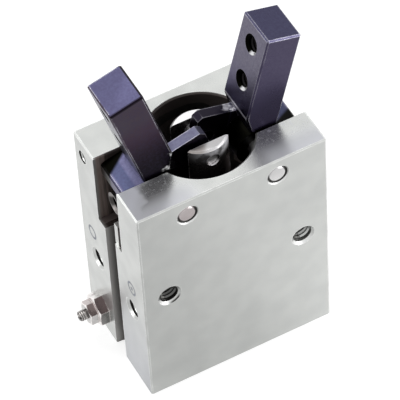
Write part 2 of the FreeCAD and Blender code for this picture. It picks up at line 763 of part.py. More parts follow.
def make_needle():
    top = "guideHead + lockNutHeight + needleProud"
    point = "-needleChamberDepth + needleLift"
    cone = f"{point} + needleTipLength"
    body = turned("speed_needle", [
        ("0", top), ("needleDiameter / 2 - edgeBevel", top), ("needleDiameter / 2", f"{top} - edgeBevel"),
        ("needleDiameter / 2", cone), ("needleTip / 2", point), ("0", point)])
    slot = sketch_on(body, "needleSlot", "XZ_Plane")
    polygon(slot, [("-needleSlot / 2", f"{top} - needleSlotDepth"), ("needleSlot / 2", f"{top} - needleSlotDepth"),
                   ("needleSlot / 2", f"{top} + needleSlotDepth"), ("-needleSlot / 2", f"{top} + needleSlotDepth")])
    pocket(body, slot, "2 * needleDiameter", symmetric=True)
    place(body, leftFace, "portSpacing / 2", "needleHeight", cornerUp)
    return body


def make_channel_plug():
    ball = doc.addObject("Part::Sphere", "channel_plug")
    ball.Label = "channel_plug"
    ball.setExpression("Radius", formula("channelDiameter / 2 - pressClear"))
    place(ball, f"{leftFace} + channelInset", "portSpacing / 2", "plugHeight")
    return ball


pieces = [
    make_body(),
    make_finger("left_finger", -1),
    make_finger("right_finger", 1),
    make_pivot_pin("left_pivot_pin", -1),
    make_pivot_pin("right_pivot_pin", 1),
    make_lock_screws(),
    make_piston_rod(),
    make_drive_pin(),
    make_piston(),
    make_piston_seal(),
    make_magnet_ring(),
    make_piston_nut(),
    make_bumper("lower_bumper", "lowerBumperHeight", "pistonTop - pistonLength - lowerBumperHeight"),
    make_bumper("upper_bumper", "upperBumperHeight", "pistonTop"),
    make_rod_cover(),
    make_rod_seal(),
    make_cover_ring(),
    make_snap_ring("rod_cover_snap_ring", "headDiameter", "headFloor + coverFlange"),
    make_end_cap(),
    make_cap_ring(),
    make_snap_ring("end_cap_snap_ring", "boreDiameter", "capRingHeight + snapGrooveWidth - snapThickness"),
    make_needle_guide(),
    make_needle_ring(),
    make_lock_nut(),
    make_needle(),
    make_channel_plug(),
]

doc.recompute()
for thing in doc.Objects:
    if "Invalid" in thing.State or "Error" in thing.State:
        raise RuntimeError(f"{thing.Name} failed: {thing.State}")
for piece in pieces:
    if piece.Shape.isNull() or not piece.Shape.isValid():
        raise RuntimeError(f"{piece.Label} has no valid shape")

os.makedirs("parts", exist_ok=True)
for piece in pieces:
    piece.Shape.exportStep(f"parts/{piece.Label}.step")
    print(piece.Label, len(piece.Shape.Solids), round(piece.Shape.Volume, 2))
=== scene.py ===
import math

import bpy
import numpy as np
from mathutils import Matrix, Vector


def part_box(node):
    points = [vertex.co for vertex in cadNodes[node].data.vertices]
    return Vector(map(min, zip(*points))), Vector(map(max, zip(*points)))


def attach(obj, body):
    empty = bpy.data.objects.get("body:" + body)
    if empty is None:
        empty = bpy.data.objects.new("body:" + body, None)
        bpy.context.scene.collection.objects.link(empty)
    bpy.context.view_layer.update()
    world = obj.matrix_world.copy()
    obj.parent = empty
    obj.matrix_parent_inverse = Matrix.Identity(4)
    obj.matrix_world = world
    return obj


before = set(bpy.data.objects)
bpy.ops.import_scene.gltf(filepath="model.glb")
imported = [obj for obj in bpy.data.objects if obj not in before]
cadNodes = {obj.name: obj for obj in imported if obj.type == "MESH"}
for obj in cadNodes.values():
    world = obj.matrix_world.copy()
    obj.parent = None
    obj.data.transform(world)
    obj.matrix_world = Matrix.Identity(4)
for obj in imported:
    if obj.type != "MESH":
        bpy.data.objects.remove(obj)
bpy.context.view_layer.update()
mm = 0.001

# Places of the holes in millimetres and the fingers' lean in degrees, for the finishes and the threads
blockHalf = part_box("body")[1] / mm
blockHoles = {
    "halfWidth": blockHalf.x, "halfDepth": blockHalf.y,
    "faceAcross": 15.5, "faceHeight": 30.1, "baseAcross": 14.5, "baseDepth": 9.6,
    "portOffset": 7.65, "portHeight": 22.7, "portDepth": 8.7,
    "lockOffset": 10.2, "lockHeight": 52.5, "lockDepth": 5.1,
}
fingerHoles = {
    "pivotAcross": 10.2, "pivotHeight": 52.5, "lean": 15.0, "inner": 4.05, "outer": 3.75,
    "heights": (14.7, 24.1), "heelFace": 19.846, "heelHeight": 47.534, "heelDepth": 4.8,
}
needleLow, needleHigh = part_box("speed_needle")
needleCentre = (needleLow + needleHigh) / 2


def metres(*values):
    return tuple(value * mm for value in values)


# Node helpers: feed sets or links an inlet, the others place nodes and give an outlet. Most of them
# find the node tree from the outlets that they are given
def treeOf(*values):
    return next(value.id_data for value in values if isinstance(value, bpy.types.NodeSocket))


def feed(inlet, value):
    if isinstance(value, bpy.types.NodeSocket):
        inlet.id_data.links.new(value, inlet)
    else:
        inlet.default_value = value


def addNode(tree, kind, settings=None, **inlets):
    node = tree.nodes.new("ShaderNode" + kind)
    for key, value in (settings or {}).items():
        setattr(node, key, value)
    for key, value in inlets.items():
        feed(node.inputs[key], value)
    return node


def calc(operation, first, second=0.0):
    node = addNode(treeOf(first, second), "Math", {"operation": operation})
    feed(node.inputs[0], first)
    feed(node.inputs[1], second)
    return node.outputs[0]


def vectorCalc(operation, first, second=(0.0, 0.0, 0.0), outlet="Vector"):
    node = addNode(treeOf(first), "VectorMath", {"operation": operation})
    feed(node.inputs[0], first)
    feed(node.inputs[1], second)
    return node.outputs[outlet]


def ramp(value, low, high, toLow=0.0, toHigh=1.0):
    node = addNode(treeOf(value), "MapRange", {"interpolation_type": "SMOOTHSTEP"})
    for inlet, item in zip(node.inputs, (value, low, high, toLow, toHigh)):
        feed(inlet, item)
    return node.outputs[0]


def blendColour(mask, low, high):
    node = addNode(treeOf(mask), "Mix", {"data_type": "RGBA"})
    for index, item in ((0, mask), (6, low), (7, high)):
        feed(node.inputs[index], item if not isinstance(item, tuple) else (*item, 1.0))
    return node.outputs[2]


def blendValue(mask, low, high):
    return addNode(treeOf(mask), "Mix", {"data_type": "FLOAT"}, Factor=mask, A=low, B=high).outputs[0]


def paintLayers(colour, look, layers):
    # lays tints of a look over a colour one after another, each where its mask is
    for mask, tint in layers:
        colour = blendColour(mask, colour, look[tint])
    return colour


def axesOf(vector):
    return addNode(treeOf(vector), "SeparateXYZ", Vector=vector).outputs


def facingOf(place):
    # the way the surface faces, in the piece's own axes
    return axesOf(place.node.outputs["Normal"])


# Masks are 0 outside and 1 inside. A share given to allOf weakens the rest
def within(value, limit):
    return calc("LESS_THAN", value, limit)


def beyond(value, limit):
    return calc("GREATER_THAN", value, limit)


def inverse(mask):
    return calc("SUBTRACT", 1.0, mask)


def combine(operation, values):
    result = values[0]
    for value in values[1:]:
        result = calc(operation, result, value)
    return result


def allOf(*masks):
    return combine("MULTIPLY", masks)


def anyOf(*masks):
    return combine("MAXIMUM", masks)


def weighted(*pairs):
    # sum of values, each times its share
    return combine("ADD", [calc("MULTIPLY", value, share) for value, share in pairs])


def fromAxis(first, second, centre):
    # distance from an axis that runs through the centre, square to the two coordinates
    flat = addNode(treeOf(first), "CombineXYZ", X=calc("SUBTRACT", first, centre[0]),
                   Y=calc("SUBTRACT", second, centre[1])).outputs[0]
    return vectorCalc("LENGTH", flat, outlet="Value")


# Shared effects, each a group built once
def newGroup(name, inlets, outlet):
    group = bpy.data.node_groups.new(name, "ShaderNodeTree")
    for label, kind, value in (("Place", "Vector", (0, 0, 0)), *inlets):
        socket = group.interface.new_socket(label, in_out="INPUT", socket_type="NodeSocket" + kind)
        socket.default_value = value
    group.interface.new_socket(outlet, in_out="OUTPUT", socket_type="NodeSocketFloat")
    entry = group.nodes.new("NodeGroupInput").outputs
    leave = group.nodes.new("NodeGroupOutput").inputs
    return group, entry, leave


def makeFineGrain():
    # height of a fine blasted or brushed grain, drawn out along the axes whose stretch is small
    inlets = ("Stretch", "Vector", (1, 1, 1)), ("Scale", "Float", 4000.0)
    group, entry, leave = newGroup("fineGrain", inlets, "Height")
    drawn = vectorCalc("MULTIPLY", entry["Place"], entry["Stretch"])
    noise = addNode(group, "TexNoise", Vector=drawn, Scale=entry["Scale"], Detail=3.0, Roughness=0.6)
    feed(leave["Height"], noise.outputs[0])
    return group


def makeToneDrift():
    # slow cloudy drift of tone, 0 to 1
    group, entry, leave = newGroup("toneDrift", (("Scale", "Float", 60.0),), "Mask")
    noise = addNode(group, "TexNoise", Vector=entry["Place"], Scale=entry["Scale"],
                    Detail=2.0, Roughness=0.4)
    feed(leave["Mask"], ramp(noise.outputs[0], 0.25, 0.75))
    return group


def makeEdgeShine():
    # painted highlight and partly wear: an edge is painted bright where the rounded normal leaves the
    # face's own normal
    inlets = ("Radius", "Float", 0.00025), ("Patches", "Float", 500.0)
    group, entry, leave = newGroup("edgeShine", inlets, "Mask")
    rounded = addNode(group, "Bevel", {"samples": 6}, Radius=entry["Radius"]).outputs[0]
    facing = addNode(group, "NewGeometry").outputs["Normal"]
    match = vectorCalc("DOT_PRODUCT", rounded, facing, "Value")
    edge = ramp(match, 0.995, 0.90)  # cosines of the angle between the two
    patches = addNode(group, "TexNoise", Vector=entry["Place"], Scale=entry["Patches"], Detail=2.0)
    feed(leave["Mask"], allOf(edge, ramp(patches.outputs[0], 0.25, 0.6)))
    return group


def makeTurningMarks():
    # height of the rings that a lathe leaves round the Z axis of Place: a sine of the way out and up
    group, entry, leave = newGroup("turningMarks", (("Pitch", "Float", 0.00012),), "Height")
    x, y, z = axesOf(entry["Place"])
    travel = calc("ADD", fromAxis(x, y, (0.0, 0.0)), z)
    turns = calc("DIVIDE", travel, entry["Pitch"])
    wave = calc("SINE", calc("MULTIPLY", turns, 2 * math.pi))
    feed(leave["Height"], wave)
    return group


def makeSpecks():
    # small scattered nicks: the middles of a few random cells
    inlets = ("Scale", "Float", 700.0), ("Share", "Float", 0.06)
    group, entry, leave = newGroup("specks", inlets, "Mask")
    cells = addNode(group, "TexVoronoi", Vector=entry["Place"], Scale=entry["Scale"])
    chance = addNode(group, "SeparateColor", Color=cells.outputs["Color"]).outputs[0]
    middle = ramp(cells.outputs["Distance"], 0.22, 0.10)  # as shares of a cell's width
    feed(leave["Mask"], allOf(within(chance, entry["Share"]), middle))
    return group


groups = {
    "fineGrain": makeFineGrain(), "toneDrift": makeToneDrift(), "specks": makeSpecks(),
    "edgeShine": makeEdgeShine(), "turningMarks": makeTurningMarks(),
}


def effect(name, **inlets):
    node = addNode(treeOf(*inlets.values()), "Group", {"node_tree": groups[name]}, **inlets)
    return node.outputs[0]


# What the finishes have in common: a start, a grain and edges painted bright, partly wear and partly
# painted highlight, an uneven gloss and a fine relief.
# The spans are what the grain, and drift and grain together, mostly fill
grainSpan = (0.2, 0.8)
driftGrainSpan = (0.2, 1.6)


def startMaterial(name, metallic):
    material = bpy.data.materials.new(name)
    material.use_nodes = True
    tree = material.node_tree
    shader = tree.nodes["Principled BSDF"]
    shader.inputs["Metallic"].default_value = metallic
    place = addNode(tree, "TexCoord").outputs["Object"]
    return material, shader, place


def grainAndEdge(place, look):
    grain = effect("fineGrain", Place=place, Stretch=look["grainStretch"], Scale=look["grainScale"])
    edge = effect("edgeShine", Place=place, Radius=look["edgeRadius"], Patches=look["edgePatches"])
    return grain, edge


def unevenGloss(drift, grain, look):
    return ramp(calc("ADD", drift, grain), *driftGrainSpan, look["gloss"], look["dull"])


def roughen(shader, height, look):
    bump = addNode(treeOf(height), "Bump", Height=height, Distance=look["relief"], Strength=look["bump"])
    feed(shader.inputs["Normal"], bump.outputs[0])


# Satin anodised block: cloudy pale grey, edges painted bright, partly wear and partly highlight, painted
# highlights on the front of the top and the countersinks, and painted shade low on the left cheek, in the
# slot over a greasy brown tint, in the bore, the holes and the switch grooves
satinBlock = {
    "metallic": 0.82, "gloss": 0.27, "dull": 0.36, "relief": 0.000012, "bump": 0.35,
    "drifts": ((55.0, 0.4), (230.0, 0.6)), "grainScale": 5000.0, "grainStretch": (1.0, 1.0, 0.35),
    "edgeRadius": 0.0004, "edgePatches": 300.0, "nickScale": 480.0, "nickShare": 0.03,
    "tone": (0.545, 0.555, 0.54), "shade": (0.482, 0.492, 0.482), "edge": (0.93, 0.94, 0.93),
    # how far a face has to turn to count as top, left side, slot floor or lit countersink
    "topTurn": (0.8, 0.95), "leftTurn": (-0.8, -0.95), "floorTurn": (0.4, 0.7), "sinkTurn": (0.2, 0.5),
    # painted highlight: the front part of the top is painted lighter towards its left end and along its
    # edge, and in scattered patches beside the bore
    "litTopFront": (0.66, 0.67, 0.71), "cornerX": (-0.0115, -0.0190), "cornerMetallic": 0.3, "topGloss": 0.75,
    "cornerStreak": 0.0025, "streakDrift": (0.2, 0.8),
    "frontX": (0.005, 0.011), "frontY": (-0.0070, -0.0135),
    "litPatchScale": 1300.0, "litPatchNoise": (0.5, 0.68), "litPatchShare": 0.5,
    # painted shade: the front cheek of the left side is painted darker low down
    "lowCheek": (0.435, 0.445, 0.465), "lowCheekZ": (0.034, 0.002),
    # a greasy brown tint and painted shade in the finger slot, darker further in along a streaky line, and
    # a painted shadow on the slot floor. The stop lip is left unpainted
    "oilAndShade": (0.27, 0.215, 0.195), "deepSlotShade": (0.06, 0.048, 0.044), "slotFloorShadow": (0.125, 0.10, 0.095),
    "oilRoughness": 0.5, "oilMetallic": 0.45, "slotShadeX": (0.0214, 0.0205), "deepX": (0.0206, 0.0175),
    "slotFront": -0.0052, "slotRear": 0.0055, "slotFloor": 0.0382, "floorTop": 0.0388,
    "lipHalf": 0.0034, "lipTop": 0.0443, "streakReach": 0.0008, "streakNoise": (0.35, 0.65),
    "streakScale": 1800.0, "streakStretch": (1.0, 1.0, 0.05),
    # painted shade in the bore and on the rear of its bevel, with painted glints near the top
    "boreShade": (0.066, 0.054, 0.050), "boreRadius": 0.01125, "boreZ": (0.0567, 0.0563),
    "bevelRadius": 0.0121, "bevelY": (-0.004, 0.0), "mouthZ": (0.05697, 0.05687),
    "boreGlint": (0.35, 0.30, 0.26), "speckFrom": 0.0555, "speckScale": 900.0, "speckShare": 0.10,
    # painted shade in the switch grooves: pale at the mouth, dark further in, low down and towards the
    # front wall
    "groovePale": (0.73, 0.715, 0.70), "grooveReach": (0.0194, 0.0214),
    "grooveInner": (0.06, 0.056, 0.052), "grooveLow": (0.012, -0.008),
    "grooveFront": (0.055, 0.051, 0.047), "grooveFrontY": (0.0012, -0.0020),
    "grooveHalf": 0.00226, "grooveMouth": 0.02138, "grooveFloor": 0.0179,
    # painted shade in the drilled holes. The left face hole is painted darkest, as far as its countersink,
    # the right one lighter; the lit side of the other countersinks gets a painted highlight
    "holeShade": (0.02, 0.019, 0.018), "rightHoleShade": (0.15, 0.15, 0.145), "sinkShade": (0.045, 0.043, 0.04),
    "drillRadius": 0.00213, "lockRadius": 0.00152, "pivotRadius": 0.00227, "sinkRadius": 0.0030,
    "sinkZ": (0.0004, -0.0010), "sinkLitX": (-0.0146, -0.0162), "sinkLine": (0.0023, 0.0025),
}


def makeSatinBlock():
    look, hole = satinBlock, blockHoles
    material, shader, place = startMaterial("satinAnodised", look["metallic"])
    drift = weighted(*[(effect("toneDrift", Place=place, Scale=scale), share)
                       for scale, share in look["drifts"]])
    grain, edge = grainAndEdge(place, look)
    x, y, z = axesOf(place)
    sideX, sideY = calc("ABSOLUTE", x), calc("ABSOLUTE", y)
    facingSide, _, facingUp = facingOf(place)
    onTop = ramp(facingUp, *look["topTurn"])

    # painted highlight on the front part of the top, and painted shade on the low cheek
    streak = ramp(drift, *look["streakDrift"], -look["cornerStreak"], look["cornerStreak"])
    atCorner = ramp(calc("ADD", x, streak), *look["cornerX"])
    besideBore = ramp(sideX, *look["frontX"])
    nearFront = allOf(ramp(y, *look["frontY"]), besideBore)
    patchNoise = effect("fineGrain", Place=place, Scale=look["litPatchScale"])
    litPatches = allOf(ramp(patchNoise, *look["litPatchNoise"]), besideBore, look["litPatchShare"])
    litTopFront = allOf(onTop, anyOf(atCorner, nearFront, litPatches), within(y, look["slotFront"]))
    onLeft = ramp(facingSide, *look["leftTurn"])
    lowCheek = allOf(onLeft, within(y, 0.0), ramp(z, *look["lowCheekZ"]))
    nicks = allOf(effect("specks", Place=place, Scale=look["nickScale"], Share=look["nickShare"]), onTop)

    # painted shade in the bore, with painted glints near the top
    mouth = ramp(z, *look["mouthZ"])
    offAxis = fromAxis(x, y, (0.0, 0.0))
    rearBevel = allOf(within(offAxis, look["bevelRadius"]), mouth, ramp(y, *look["bevelY"]))
    boreWall = allOf(within(offAxis, look["boreRadius"]), ramp(z, *look["boreZ"]))
    inBore = anyOf(boreWall, rearBevel)
    specks = allOf(effect("specks", Place=place, Scale=look["speckScale"], Share=look["speckShare"]),
                   inBore, beyond(z, look["speckFrom"]))

    # painted shade in the slot, over a greasy brown tint, and a painted shadow on its floor
    aboveFloor = beyond(z, look["slotFloor"])
    inward = ramp(sideX, *look["slotShadeX"])
    onLip = allOf(within(sideY, look["lipHalf"]), within(z, look["lipTop"]))
    acrossSlot = allOf(within(y, look["slotRear"]), beyond(y, look["slotFront"]))
    inSlot = allOf(acrossSlot, aboveFloor, mouth, inward, inverse(onLip))
    streaks = effect("fineGrain", Place=place, Stretch=look["streakStretch"], Scale=look["streakScale"])
    streakShift = ramp(streaks, *look["streakNoise"], -look["streakReach"], look["streakReach"])
    deepSlot = allOf(inSlot, ramp(calc("ADD", sideX, streakShift), *look["deepX"]))
    shadowedSlotFloor = allOf(acrossSlot, aboveFloor, within(z, look["floorTop"]), inward,
                      ramp(facingUp, *look["floorTurn"]))

    # painted shade in the switch grooves
    inGroove = allOf(within(sideY, look["grooveHalf"]), within(z, look["slotFloor"]),
                     beyond(sideX, look["grooveFloor"]), within(sideX, look["grooveMouth"]))
    grooveFront = allOf(inGroove, ramp(y, *look["grooveFrontY"]))
    groove = blendColour(ramp(sideX, *look["grooveReach"]), look["grooveInner"], look["groovePale"])
    groove = blendColour(ramp(z, *look["grooveLow"]), groove, look["grooveInner"])

    # painted shade in the drilled holes and on part of the left face hole's countersink, painted highlights
    # on the lit side of the countersinks
    faceHole = metres(hole["faceAcross"], hole["faceHeight"])
    port = metres(hole["portOffset"], hole["portHeight"])
    lock = metres(hole["lockOffset"], hole["lockHeight"])
    pivot = metres(fingerHoles["pivotAcross"], fingerHoles["pivotHeight"])
    fromFaceHole, fromPivot = [fromAxis(sideX, z, centre) for centre in (faceHole, pivot)]
    inPort = allOf(within(fromAxis(sideY, z, port), look["drillRadius"]), within(x, 0.0))
    inHoles = anyOf(within(fromFaceHole, look["drillRadius"]), inPort,
                    within(fromAxis(y, z, lock), look["lockRadius"]),
                    within(fromPivot, look["pivotRadius"]))
    rightFaceHole = within(fromAxis(x, z, faceHole), look["drillRadius"])
    faceSink, pivotSink = [
        allOf(within(distance, look["sinkRadius"]),
              ramp(calc("SUBTRACT", z, centre[1]), *look["sinkZ"]),
              ramp(facingUp, *look["sinkTurn"]))
        for distance, centre in ((fromFaceHole, faceHole), (fromPivot, pivot))]
    sinkLitSide = anyOf(ramp(x, *look["sinkLitX"]), beyond(x, 0.0))
    litSinks = anyOf(allOf(faceSink, sinkLitSide), pivotSink)
    shadedSink = allOf(faceSink, inverse(sinkLitSide), ramp(fromFaceHole, *look["sinkLine"]))

    colour = blendColour(drift, look["tone"], look["shade"])
    colour = paintLayers(colour, look, (
        (litTopFront, "litTopFront"), (lowCheek, "lowCheek"), (litSinks, "edge"), (anyOf(edge, nicks), "edge"),
        (inSlot, "oilAndShade"), (deepSlot, "deepSlotShade"), (shadowedSlotFloor, "slotFloorShadow")))
    colour = blendColour(inGroove, colour, groove)
    colour = paintLayers(colour, look, (
        (grooveFront, "grooveFront"), (inBore, "boreShade"), (specks, "boreGlint"), (inHoles, "holeShade"),
        (rightFaceHole, "rightHoleShade"), (shadedSink, "sinkShade")))
    feed(shader.inputs["Base Color"], colour)
    darkened = anyOf(inSlot, inBore, inGroove, inHoles, shadedSink)
    rough = unevenGloss(drift, grain, look)
    rough = calc("MULTIPLY", rough, ramp(onTop, 0.0, 1.0, 1.0, look["topGloss"]))
    feed(shader.inputs["Roughness"], blendValue(darkened, rough, look["oilRoughness"]))
    metal = ramp(anyOf(litTopFront, litSinks), 0.0, 1.0, look["metallic"], look["cornerMetallic"])
    feed(shader.inputs["Metallic"], blendValue(darkened, metal, look["oilMetallic"]))
    roughen(shader, allOf(grain, inverse(inGroove)), look)
    return material


# Blue black oxide on steel: violet black sides painted darker lower down, bluer milled tops partly painted
# light, edges painted bright, partly wear and partly highlight, painted highlights at the hole mouths,
# painted shade on the hub
oxideSteel = {
    "metallic": 1.0, "gloss": 0.26, "dull": 0.38, "relief": 0.000015, "bump": 0.3,
    "driftScale": 120.0, "grainScale": 4500.0, "grainStretch": (1.0, 0.2, 1.0),
    "edgeRadius": 0.00035, "edgePatches": 500.0, "mottleScale": 2000.0, "mottle": 0.35,
    # the left finger is warm and red in patches, the right one blue, and both are painted darker lower
    # down, a painted shade
    "warm": (0.052, 0.043, 0.056), "warmLow": (0.009, 0.006, 0.011), "red": (0.046, 0.022, 0.041),
    "redBase": 0.5, "redShare": 0.8, "redReach": (0.0245, 0.018), "redDrift": (-0.3, 0.6),
    "cool": (0.059, 0.051, 0.091), "coolLow": (0.038, 0.030, 0.066), "fadeReach": (0.021, 0.006),
    "coolInner": (0.118, 0.110, 0.152), "coolInnerLow": (0.063, 0.055, 0.118), "innerSide": -0.0040,
    # milled tops, arms, outer faces, and the ledge and lip over the heel. Upward faces are bluer, partly
    # their milled finish and partly painted light; the outer faces are painted lighter, a painted
    # reflection; the bands along the ledge are painted highlights; the right arm is painted darker, a
    # painted shade
    "milled": (0.064, 0.063, 0.116), "topTurn": (0.5, 0.85), "armTop": (0.080, 0.081, 0.118),
    "armFrom": -0.0044, "armDark": 0.85, "armQuiet": 0.6,
    "outerFace": (0.13, 0.125, 0.165), "outerSide": 0.00372,
    "ledge": (0.060, 0.068, 0.126), "ledgeBand": (0.105, 0.105, 0.18), "ledgeReach": 0.0049,
    "ledgeRoot": (0.00375, 0.0048), "ledgeRootRadius": 0.0007, "innerBand": (0.0058, 0.0052),
    "lipBand": (0.0078, 0.0082), "lipSide": 0.00863,
    "heelFace": (0.085, 0.078, 0.140), "heelAt": 0.01982, "heelReach": 0.0053,
    # edges are painted bright, partly wear and partly painted highlight, most of all near the block. Round
    # the left end face only the outer edge is; its inner and front edges are painted dark, a painted shade
    "edge": (0.66, 0.65, 0.72), "wornReach": (0.011, 0.008), "softEdge": 0.4, "endEdge": 0.75,
    "endReach": 0.0281, "endInner": -0.00362, "endFront": -0.00465, "endQuiet": 0.0005,
    "nickScale": 520.0, "nickShare": 0.012, "nickStrength": 0.35,
    # painted highlight: the ground jaw face ends in a rounded edge that is painted bright above the arm
    "jawTurn": (-0.985, -0.995), "jawSide": -0.0030, "jawFrom": 0.0606, "jawStrength": 0.6,
    # painted glints at spots that are partly wear, each a centre and a radius. They scatter light, so they
    # show in the dark bore too
    "glintColour": (0.95, 0.95, 0.97), "spotCore": 0.2, "wornStrength": 0.95, "bareMetallic": 0.35,
    "ragged": 0.0005, "raggedScale": 1100.0,
    "glintSpots": (((-0.0073, -0.0038, 0.0586), 0.0007), ((-0.0085, -0.0047, 0.0613), 0.0009),
                  ((-0.0095, -0.0050, 0.0575), 0.0015), ((0.0075, 0.0023, 0.0593), 0.0015),
                  ((0.0081, 0.0008, 0.0592), 0.0009)),
    # painted shade in the holes and on the hub, with a painted highlight on the lit side of the mouths, a
    # painted shadow on the ledge and another on the boss, whose rim has its own colour
    "shadeBlack": (0.0015, 0.0015, 0.001), "mouthHighlight": (0.75, 0.75, 0.77), "hubRadius": 0.0046,
    "drillRadius": 0.00168, "mouthRadius": 0.00223, "mouthLit": (0.45, 0.7), "mouthUp": 0.6,
    "mouthRear": 0.8, "ledgeShadowSlope": 0.617, "ledgeShadowAcross": (0.0059, 0.0069),
    "rim": (0.22, 0.205, 0.20), "bossRadius": 0.0027, "bossFrom": 0.0193,
    "bossShadowFrom": (0.0450, 0.0462), "bossShadowTo": (0.0482, 0.0472), "bossShadowShare": 0.75,
}


def makeOxideSteel():
    look, hole = oxideSteel, fingerHoles
    material, shader, place = startMaterial("blueBlackOxide", look["metallic"])
    drift = effect("toneDrift", Place=place, Scale=look["driftScale"])
    mottle = effect("toneDrift", Place=place, Scale=look["mottleScale"])
    grain, edge = grainAndEdge(place, look)
    x, y, z = axesOf(place)
    facingSide, facingRear, facingUp = facingOf(place)
    sideX, sign = calc("ABSOLUTE", x), calc("SIGN", x)
    onRight = beyond(x, 0.0)
    onLeft = inverse(onRight)

    # axes of the leaning finger: reach runs from the pivot to the tip, outward across it. One finger is the
    # other turned half round, so turned is a depth that means the same on both
    lean = math.radians(hole["lean"])
    pivot = metres(hole["pivotAcross"], hole["pivotHeight"])
    pivotX, pivotZ = calc("SUBTRACT", sideX, pivot[0]), calc("SUBTRACT", z, pivot[1])
    reach = weighted((pivotX, math.sin(lean)), (pivotZ, math.cos(lean)))
    outward = weighted((pivotX, math.cos(lean)), (pivotZ, -math.sin(lean)))
    turned = calc("MULTIPLY", y, sign)
    outer = beyond(outward, look["outerSide"])
    onArm = within(outward, look["armFrom"])
    onLedge = allOf(within(reach, look["ledgeReach"]), outer)
    atHeel = within(reach, look["heelReach"])

    # oxide tones: darker lower down as painted shade, upward faces partly painted light, and painted
    # highlights in bands on the ledge
    lower = ramp(reach, *look["fadeReach"])
    middle = allOf(ramp(reach, *look["redReach"]), ramp(drift, *look["redDrift"]))
    redness = allOf(anyOf(allOf(drift, look["redBase"]), middle), look["redShare"])
    warm = blendColour(redness, look["warm"], look["red"])
    warm = blendColour(lower, warm, look["warmLow"])
    cool = blendColour(lower, look["cool"], look["coolLow"])
    coolInner = blendColour(lower, look["coolInner"], look["coolInnerLow"])
    cool = blendColour(within(outward, look["innerSide"]), cool, coolInner)
    colour = blendColour(onRight, warm, cool)
    tops = blendColour(onArm, look["milled"], look["armTop"])
    colour = blendColour(ramp(facingUp, *look["topTurn"]), colour, tops)
    bands = anyOf(ramp(outward, *look["innerBand"]), ramp(outward, *look["lipBand"]))
    colour = blendColour(onLedge, colour, blendColour(bands, look["ledge"], look["ledgeBand"]))

    # edges painted bright, partly wear and partly painted highlight, nicks, and painted glints at spots of
    # wear
    atEnd = beyond(reach, look["endReach"])
    darkEnd, quietEnd = [
        allOf(onLeft, atEnd, anyOf(within(outward, look["endInner"] + more),
                                   within(y, look["endFront"] + more)))
        for more in (0.0, look["endQuiet"])]
    brightened = anyOf(onLeft, allOf(atEnd, look["endEdge"]), ramp(reach, *look["wornReach"]),
                   look["softEdge"])
    ledgeRoot = within(fromAxis(outward, reach, look["ledgeRoot"]), look["ledgeRootRadius"])
    quiet = anyOf(quietEnd, ledgeRoot, allOf(onArm, look["armQuiet"]))
    nicks = effect("specks", Place=place, Scale=look["nickScale"], Share=look["nickShare"])
    edgesAndNicks = anyOf(allOf(edge, brightened, inverse(quiet)), allOf(nicks, look["nickStrength"]))
    jawEdge = allOf(ramp(calc("MULTIPLY", facingSide, sign), *look["jawTurn"]),
                    within(outward, look["jawSide"]), beyond(z, look["jawFrom"]))
    patches = effect("toneDrift", Place=place, Scale=look["raggedScale"])
    ragged = ramp(patches, 0.0, 1.0, -look["ragged"], look["ragged"])
    spots = [ramp(calc("ADD", vectorCalc("DISTANCE", place, centre, "Value"), ragged),
                  radius, look["spotCore"] * radius) for centre, radius in look["glintSpots"]]
    wornGlints = allOf(anyOf(*spots), look["wornStrength"])

    # painted shade in the holes and on the hub, painted highlights on the lit mouths, and painted shadows
    # on the ledge and the boss
    holeLines = [fromAxis(y, reach, (0.0, height)) for height in metres(*hole["heights"])]
    inHoles = anyOf(*[within(line, look["drillRadius"]) for line in holeLines])
    inMouths = anyOf(*[within(line, look["mouthRadius"]) for line in holeLines])
    slant = weighted((facingUp, look["mouthUp"]), (facingRear, look["mouthRear"]))
    litMouths = allOf(inMouths, ramp(slant, *look["mouthLit"]))
    atHub = within(fromAxis(sideX, z, pivot), look["hubRadius"])
    across = calc("SUBTRACT", calc("MULTIPLY", outward, look["ledgeShadowSlope"]), turned)
    ledgeShadow = allOf(ramp(across, *look["ledgeShadowAcross"]), atHeel)
    fromBoss = fromAxis(y, z, metres(0.0, hole["heelHeight"]))
    onBoss = allOf(within(fromBoss, look["bossRadius"]), beyond(sideX, look["bossFrom"]))
    bossShadow = allOf(onBoss, ramp(z, *look["bossShadowFrom"]), ramp(z, *look["bossShadowTo"]),
                  within(turned, 0.0), look["bossShadowShare"])

    # painted light and shade over the tones: lighter outer faces, a darker right arm, bright edges and jaw
    # edge, glints, dark end edges, and shade and shadows in holes, on the hub, ledge and boss
    colour = paintLayers(colour, look, (
        (allOf(outer, inverse(onLedge)), "outerFace"), (allOf(mottle, look["mottle"]), "coolLow"),
        (allOf(onRight, onArm, look["armDark"]), "warmLow"), (edgesAndNicks, "edge"),
        (allOf(jawEdge, look["jawStrength"]), "edge"), (wornGlints, "glintColour"), (darkEnd, "warmLow"),
        (beyond(outward, look["lipSide"]), "warmLow"),
        (allOf(beyond(sideX, look["heelAt"]), atHeel), "heelFace"), (inMouths, "shadeBlack"),
        (litMouths, "mouthHighlight"), (inHoles, "shadeBlack"), (atHub, "shadeBlack"), (ledgeShadow, "shadeBlack"), (onBoss, "rim"),
        (bossShadow, "shadeBlack")))
    feed(shader.inputs["Base Color"], colour)
    metal = ramp(anyOf(wornGlints, jawEdge), 0.0, 1.0, look["metallic"], look["bareMetallic"])
    feed(shader.inputs["Metallic"], metal)
    feed(shader.inputs["Roughness"], unevenGloss(drift, grain, look))
    roughen(shader, grain, look)
    return material


